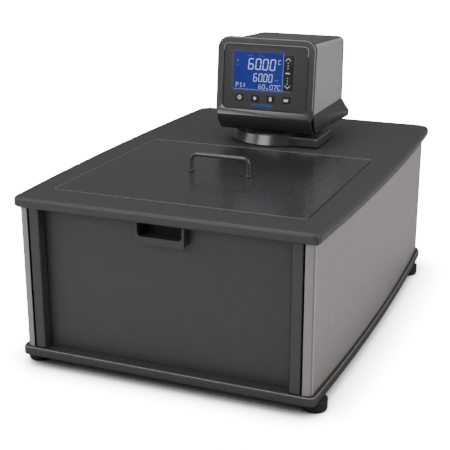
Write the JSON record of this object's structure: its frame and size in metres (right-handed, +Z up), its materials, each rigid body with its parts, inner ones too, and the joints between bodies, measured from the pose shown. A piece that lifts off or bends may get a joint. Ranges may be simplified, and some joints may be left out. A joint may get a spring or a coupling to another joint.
{
  "type": "heated circulating water bath",
  "caption": "Benchtop heated circulating water bath with a shallow insulated tank, a lift-off lid with a bent-rod handle and a swivelling digital control head.",
  "frame": {"origin": "on the floor under the middle of the top cover", "axes": "+Z up, +Y from the front panel towards the rear panel, +X to the right as seen from the front"},
  "size_m": [0.4188, 0.603, 0.3917],
  "materials": {
    "charcoal_moulding": "fine satin moulding grain",
    "head_moulding": "satin moulding with soft edge highlights",
    "lid_metal": "satin powder coat, soft reflections",
    "front_metal": "satin powder coat",
    "side_metal": "warm grey satin metallic",
    "head_side_metal": "light grey fine texture",
    "rubber_foot": "matte",
    "stainless": "brushed",
    "heater_steel": "electropolished",
    "brass_fitting": "machined",
    "foam_jacket": "closed-cell foam",
    "handle_metal": "semi-gloss black",
    "base_casting": "gloss black",
    "black_moulding": "satin black",
    "key_black": "satin black with white icons",
    "display_window": "clear",
    "display_module": "lit blue display",
    "circuit_board": "solder mask",
    "white_moulding": "natural",
    "rocker_black": "gloss black"
  },
  "bodies": {
    "bath": {"base_tray": "charcoal_moulding", "foot_front_left": "rubber_foot", "foot_front_right": "rubber_foot", "foot_rear_left": "rubber_foot", "foot_rear_right": "rubber_foot", "side_panel_left": "side_metal", "side_panel_right": "side_metal", "front_panel": "front_metal", "rear_panel": "front_metal", "top_cover": "charcoal_moulding", "reservoir_tank": "stainless", "insulation_jacket": "foam_jacket", "front_grip": "charcoal_moulding", "rear_grip": "charcoal_moulding", "swivel_base": "base_casting", "bridge_plate": "stainless", "clamp_nut": "brass_fitting", "pump_motor": "black_moulding", "pump_column": "stainless", "pump_housing": "stainless", "heater_coil": "heater_steel", "temperature_probe": "stainless", "float_stem": "stainless", "drain_fitting": "stainless", "port_outlet": "brass_fitting", "port_return": "brass_fitting"},
    "pump_rotor": {"pump_shaft": "stainless", "impeller": "white_moulding"},
    "float": {"level_float": "white_moulding"},
    "drain_tap": {"drain_handle": "black_moulding"},
    "lid_body": {"lid": "lid_metal", "lid_handle": "handle_metal", "handle_ferrule_left": "handle_metal", "handle_ferrule_right": "handle_metal", "handle_nut_left": "stainless", "handle_nut_right": "stainless"},
    "head": {"head_shell": "head_moulding", "head_side_left": "head_side_metal", "head_side_right": "head_side_metal", "head_bezel": "head_moulding", "head_rear_cover": "head_moulding", "head_cowl": "head_moulding", "head_floor": "stainless", "swivel_ring": "white_moulding", "control_panel": "head_moulding", "lcd_window": "display_window", "lcd_module": "display_module", "control_board": "circuit_board", "power_board": "circuit_board", "power_inlet": "black_moulding", "breaker_housing": "black_moulding", "data_port": "stainless"},
    "button_power": {"key_power": "key_black"},
    "button_pump": {"key_pump": "key_black"},
    "button_timer": {"key_timer": "key_black"},
    "button_menu": {"key_menu": "key_black"},
    "button_up": {"key_up": "key_black"},
    "button_set": {"key_set": "key_black"},
    "button_down": {"key_down": "key_black"},
    "breaker_toggle": {"breaker_rocker": "rocker_black"}
  },
  "joints": [
    {"name": "lid_lift", "type": "slide", "parent": "bath", "child": "lid_body", "axis": [0, 0, 1], "range_m": [0, 0.12]},
    {"name": "head_swivel", "type": "hinge", "parent": "bath", "child": "head", "pos_m": [0, 0.133, 0.233], "axis": [0, 0, 1], "range_deg": [-90, 90]},
    {"name": "pump_spin", "type": "hinge", "parent": "bath", "child": "pump_rotor", "pos_m": [0, 0.133, 0.08], "axis": [0, 0, 1], "continuous": true},
    {"name": "float_slide", "type": "slide", "parent": "bath", "child": "float", "axis": [0, 0, 1], "range_m": [0, 0.015]},
    {"name": "drain_turn", "type": "hinge", "parent": "bath", "child": "drain_tap", "pos_m": [0.1182, 0.2885, 0.068], "axis": [0, 0, 1], "range_deg": [0, 90]},
    {"name": "breaker_rock", "type": "hinge", "parent": "head", "child": "breaker_toggle", "pos_m": [0.01, 0.207, 0.313], "axis": [1, 0, 0], "range_deg": [0, 16]},
    {"name": "press_power", "type": "slide", "parent": "head", "child": "button_power", "axis": [0, 0.9951, -0.0993], "range_m": [0, 0.0005], "stiffness_N_per_m": 1500},
    {"name": "press_pump", "type": "slide", "parent": "head", "child": "button_pump", "axis": [0, 0.9951, -0.0993], "range_m": [0, 0.0005], "stiffness_N_per_m": 1500},
    {"name": "press_timer", "type": "slide", "parent": "head", "child": "button_timer", "axis": [0, 0.9951, -0.0993], "range_m": [0, 0.0005], "stiffness_N_per_m": 1500},
    {"name": "press_menu", "type": "slide", "parent": "head", "child": "button_menu", "axis": [0, 0.9951, -0.0993], "range_m": [0, 0.0005], "stiffness_N_per_m": 1500},
    {"name": "press_up", "type": "slide", "parent": "head", "child": "button_up", "axis": [0, 0.9951, -0.0993], "range_m": [0, 0.0005], "stiffness_N_per_m": 1500},
    {"name": "press_set", "type": "slide", "parent": "head", "child": "button_set", "axis": [0, 0.9951, -0.0993], "range_m": [0, 0.0005], "stiffness_N_per_m": 1500},
    {"name": "press_down", "type": "slide", "parent": "head", "child": "button_down", "axis": [0, 0.9951, -0.0993], "range_m": [0, 0.0005], "stiffness_N_per_m": 1500}
  ]
}
